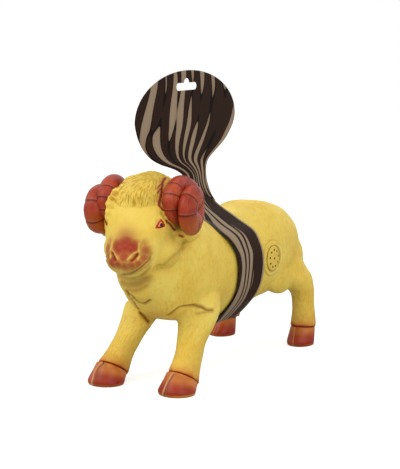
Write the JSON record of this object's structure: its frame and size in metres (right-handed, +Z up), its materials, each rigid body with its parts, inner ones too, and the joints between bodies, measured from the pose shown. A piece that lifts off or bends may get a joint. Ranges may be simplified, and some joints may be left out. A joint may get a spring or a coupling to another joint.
{
  "type": "musical plush sheep",
  "caption": "Stuffed soft-vinyl toy ram with curled horns, a press-to-sound unit in its left flank and a striped card hang band.",
  "frame": {"origin": "centre of the bounding box in plan, at the level of the hoof soles", "axes": "+Z up; the ram faces -Y, its tail points to +Y and its left flank, with the sound unit, is on +X"},
  "size_m": [0.1036, 0.2661, 0.2455],
  "materials": {
    "skin": "soft yellow vinyl, satin, with embossed wool",
    "horn": "soft vinyl sprayed red-brown, half gloss",
    "hoof": "soft vinyl sprayed orange-brown, half gloss",
    "stuffing": "white polyester fibre filling",
    "card": "printed dark brown card with taupe stripes, varnished",
    "housing": "moulded yellow plastic, satin",
    "inner_case": "black moulded plastic",
    "steel": "plated steel",
    "ferrite": "dark grey ferrite",
    "paper_cone": "black pressed paper",
    "board": "green lacquered board",
    "epoxy": "black resin",
    "brass": "plain brass strip",
    "red_button": "red moulded plastic",
    "wire_cover": "red insulation"
  },
  "bodies": {
    "toy": {"body_skin": "skin", "body_stuffing": "stuffing", "head_skin": "skin", "head_stuffing": "stuffing", "horn_left": "horn", "horn_right": "horn", "ear_left": "skin", "ear_right": "skin", "leg_front_left": "skin", "leg_front_right": "skin", "leg_hind_left": "skin", "leg_hind_right": "skin", "hoof_front_left": "hoof", "hoof_front_right": "hoof", "hoof_hind_left": "hoof", "hoof_hind_right": "hoof", "tail": "skin", "card_band": "card"},
    "header": {"card_header": "card"},
    "sound_unit": {"grille_cap": "housing", "unit_case": "inner_case", "speaker_frame": "steel", "speaker_magnet": "ferrite", "speaker_cone": "paper_cone", "lead_wire_plus": "wire_cover", "lead_wire_minus": "wire_cover", "circuit_board": "board", "sound_chip": "epoxy", "trigger_switch": "inner_case", "button_spring": "steel", "button_cell_1": "steel", "button_cell_2": "steel", "button_cell_3": "steel", "contact_positive": "brass"},
    "button": {"squeeze_button": "red_button"},
    "door": {"battery_door": "inner_case", "contact_negative": "brass"},
    "screw": {"door_screw": "steel"}
  },
  "joints": [
    {"name": "header_flex", "type": "hinge", "parent": "toy", "child": "header", "pos_m": [0, -0.0071, 0.15185], "axis": [0, 1, 0], "range_deg": [-20, 20], "stiffness_Nm_per_rad": 0.03},
    {"name": "unit_pull", "type": "slide", "parent": "toy", "child": "sound_unit", "axis": [1, 0, 0], "range_m": [0, 0.036]},
    {"name": "button_press", "type": "slide", "parent": "sound_unit", "child": "button", "axis": [1, 0, 0], "range_m": [0, 0.0012], "stiffness_N_per_m": 300, "deforming": ["button_spring"]},
    {"name": "door_lift", "type": "slide", "parent": "sound_unit", "child": "door", "axis": [-1, 0, 0], "range_m": [0, 0.009]},
    {"name": "screw_turn", "type": "hinge", "parent": "door", "child": "screw", "pos_m": [0.012, 0.0614, 0.0887], "axis": [-1, 0, 0], "continuous": true}
  ]
}
